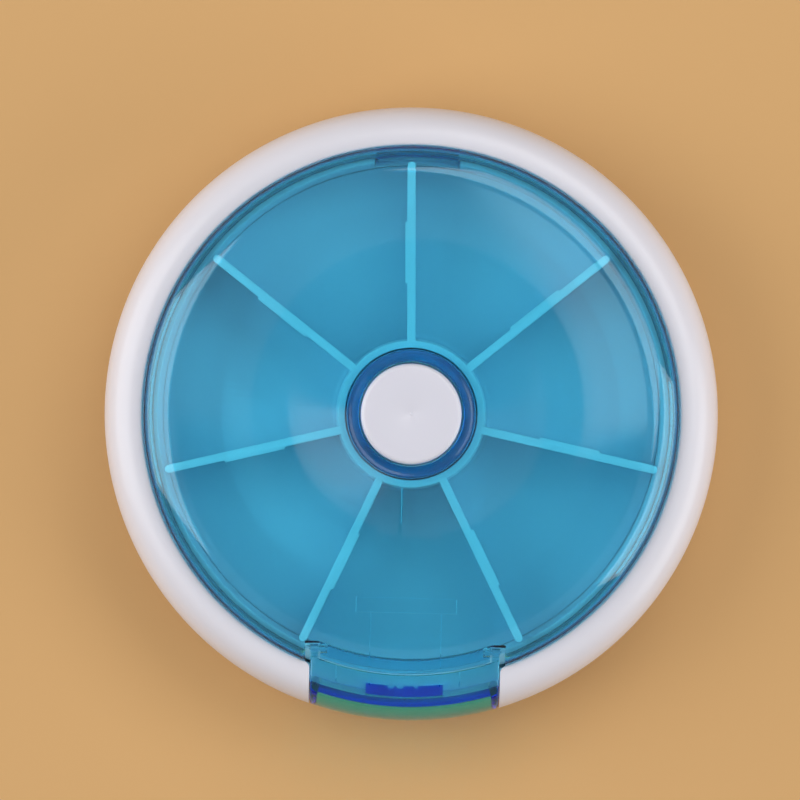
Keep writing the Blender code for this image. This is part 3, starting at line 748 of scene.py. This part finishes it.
bench_half = 2.0         # metres
bench_mesh = bpy.data.meshes.new("bench")
bench_mesh.from_pydata([(-bench_half, -bench_half, 0), (bench_half, -bench_half, 0),
                        (bench_half, bench_half, 0), (-bench_half, bench_half, 0)], [], [(0, 1, 2, 3)])
bench = bpy.data.objects.new("bench", bench_mesh)
bpy.context.scene.collection.objects.link(bench)
bench_paint, tree = new_material("Pale bench")
shader = add_node(tree, "ShaderNodeBsdfPrincipled", {"Base Color": linear("#D3A66D"), "Roughness": 0.8})
add_node(tree, "ShaderNodeOutputMaterial", {"Surface": shader.outputs[0]})
bench_mesh.materials.append(bench_paint)

# The ceiling's pattern is laid out in millimetres on the lid's flat top, as it is mirrored there to a camera
# this high, in metres.
camera_height = 1.5
world = bpy.data.worlds.new("studio")
bpy.context.scene.world = world
world.use_nodes = True
tree = world.node_tree
tree.nodes.clear()
way = add_node(tree, "ShaderNodeTexCoord").outputs["Generated"]
parts = add_node(tree, "ShaderNodeSeparateXYZ", {0: way})
stretch = add_node(tree, "ShaderNodeMath", {0: (camera_height - lid_top * MM) / MM, 1: parts.outputs["Z"]},
                   operation="DIVIDE")
on_lid = add_node(tree, "ShaderNodeVectorMath", {0: way, "Scale": stretch.outputs[0]}, operation="SCALE")
spot = add_node(tree, "ShaderNodeSeparateXYZ", {0: on_lid.outputs[0]})

# An oval hood round the lens and the stand that holds it, towards -Y, are both dark.
hood_middle = (5.0, 5.0, 0.0)
hood_half = (17.0, 20.0)
shifted = add_node(tree, "ShaderNodeVectorMath", {0: on_lid.outputs[0], 1: hood_middle},
                   operation="SUBTRACT")
spread = add_node(tree, "ShaderNodeVectorMath", {0: shifted.outputs[0],
                                                 1: (1 / hood_half[0], 1 / hood_half[1], 0.0)},
                  operation="MULTIPLY")
away = add_node(tree, "ShaderNodeVectorMath", {0: spread.outputs[0]}, operation="LENGTH")
off_hood = add_node(tree, "ShaderNodeMapRange", {"Value": away.outputs["Value"], "From Min": 0.9,
                                                 "From Max": 1.08}, interpolation_type="SMOOTHSTEP")
off_stand = add_node(tree, "ShaderNodeMapRange", {"Value": spot.outputs["Y"], "From Min": -8.0,
                                                  "From Max": 1.0}, interpolation_type="SMOOTHSTEP")
off_both = add_node(tree, "ShaderNodeMath", {0: off_hood.outputs[0], 1: off_stand.outputs[0]},
                    operation="MULTIPLY")

# From 50 to 200 mm off the middle the ceiling gives way to the walls, which brighten a little with height.
far_off = add_node(tree, "ShaderNodeVectorMath", {0: on_lid.outputs[0], 1: (MM, MM, 0.0)},
                   operation="MULTIPLY")
distance = add_node(tree, "ShaderNodeVectorMath", {0: far_off.outputs[0]}, operation="LENGTH")
beyond = add_node(tree, "ShaderNodeMapRange", {"Value": distance.outputs["Value"], "From Min": 0.05,
                                               "From Max": 0.2}, interpolation_type="SMOOTHSTEP")
below = add_node(tree, "ShaderNodeMath", {0: parts.outputs["Z"], 1: 0.02}, operation="LESS_THAN")
outside = add_node(tree, "ShaderNodeMath", {0: beyond.outputs[0], 1: below.outputs[0]}, operation="MAXIMUM")
ceiling = add_node(tree, "ShaderNodeMapRange", {"Value": spot.outputs["X"], "From Min": 10.0,
                                                "From Max": 36.0, "To Min": 0.35, "To Max": 1.3},
                   interpolation_type="SMOOTHSTEP")
overhead = add_node(tree, "ShaderNodeMapRange", {"Value": off_both.outputs[0], "To Min": 0.06,
                                                 "To Max": ceiling.outputs[0]})
walls = add_node(tree, "ShaderNodeMath", {0: parts.outputs["Z"], 1: 0.12, 2: 0.25}, operation="MULTIPLY_ADD")
glow = add_node(tree, "ShaderNodeMapRange", {"Value": outside.outputs[0], "To Min": overhead.outputs[0],
                                             "To Max": walls.outputs[0]})
room = add_node(tree, "ShaderNodeCombineXYZ", {"X": glow.outputs[0], "Y": glow.outputs[0],
                                               "Z": glow.outputs[0]})
back = add_node(tree, "ShaderNodeBackground", {"Color": room.outputs[0], "Strength": 1.0})
add_node(tree, "ShaderNodeOutputWorld", {"Surface": back.outputs[0]})


def soft_box(name, around, up, size, radiance, distance=0.7):
    """A soft box aimed at the case, at two angles in degrees; radiance is what it shows in a mirror."""
    lamp = bpy.data.lights.new(name, "AREA")
    lamp.shape, lamp.size, lamp.size_y = "RECTANGLE", size[0], size[1]
    lamp.energy = radiance * math.pi * size[0] * size[1]
    box = bpy.data.objects.new(name, lamp)
    flat_x, flat_y = polar(distance * math.cos(math.radians(up)), around)
    box.location = (flat_x, flat_y, distance * math.sin(math.radians(up)))
    box.rotation_euler = (-Vector(box.location)).to_track_quat("-Z", "Y").to_euler()
    bpy.context.scene.collection.objects.link(box)


soft_box("soft_box_left", 176, 32, (0.62, 0.90), 2.2)
soft_box("soft_box_right", -14, 20, (0.60, 0.50), 2.3)
soft_box("soft_box_high", 44, 57, (0.64, 0.36), 2.0)

# Light goes through the clear lid twice and runs along inside it, so it needs many bounces and no blurring.
path = bpy.context.scene.cycles
path.blur_glossy = 0.0
path.max_bounces, path.glossy_bounces, path.transmission_bounces, path.diffuse_bounces = 32, 16, 24, 6
bpy.context.scene.view_settings.view_transform = "Standard"

# The camera looks straight down from far off, turned a little against the box. Its lens is set by the width
# that it takes in, in metres, at a height inside the box.
view_width = 0.1175
level = 0.011
camera_data = bpy.data.cameras.new("camera")
camera_data.sensor_width = 36.0
camera_data.lens = camera_data.sensor_width * (camera_height - level) / view_width
camera_data.clip_start = 0.01
camera_data.shift_x = -0.014
camera_data.shift_y = 0.0175
camera = bpy.data.objects.new("camera", camera_data)
camera.location = (0.0, 0.0, camera_height)
camera.rotation_euler = (0.0, 0.0, math.radians(1.45))
bpy.context.scene.collection.objects.link(camera)
bpy.context.scene.camera = camera
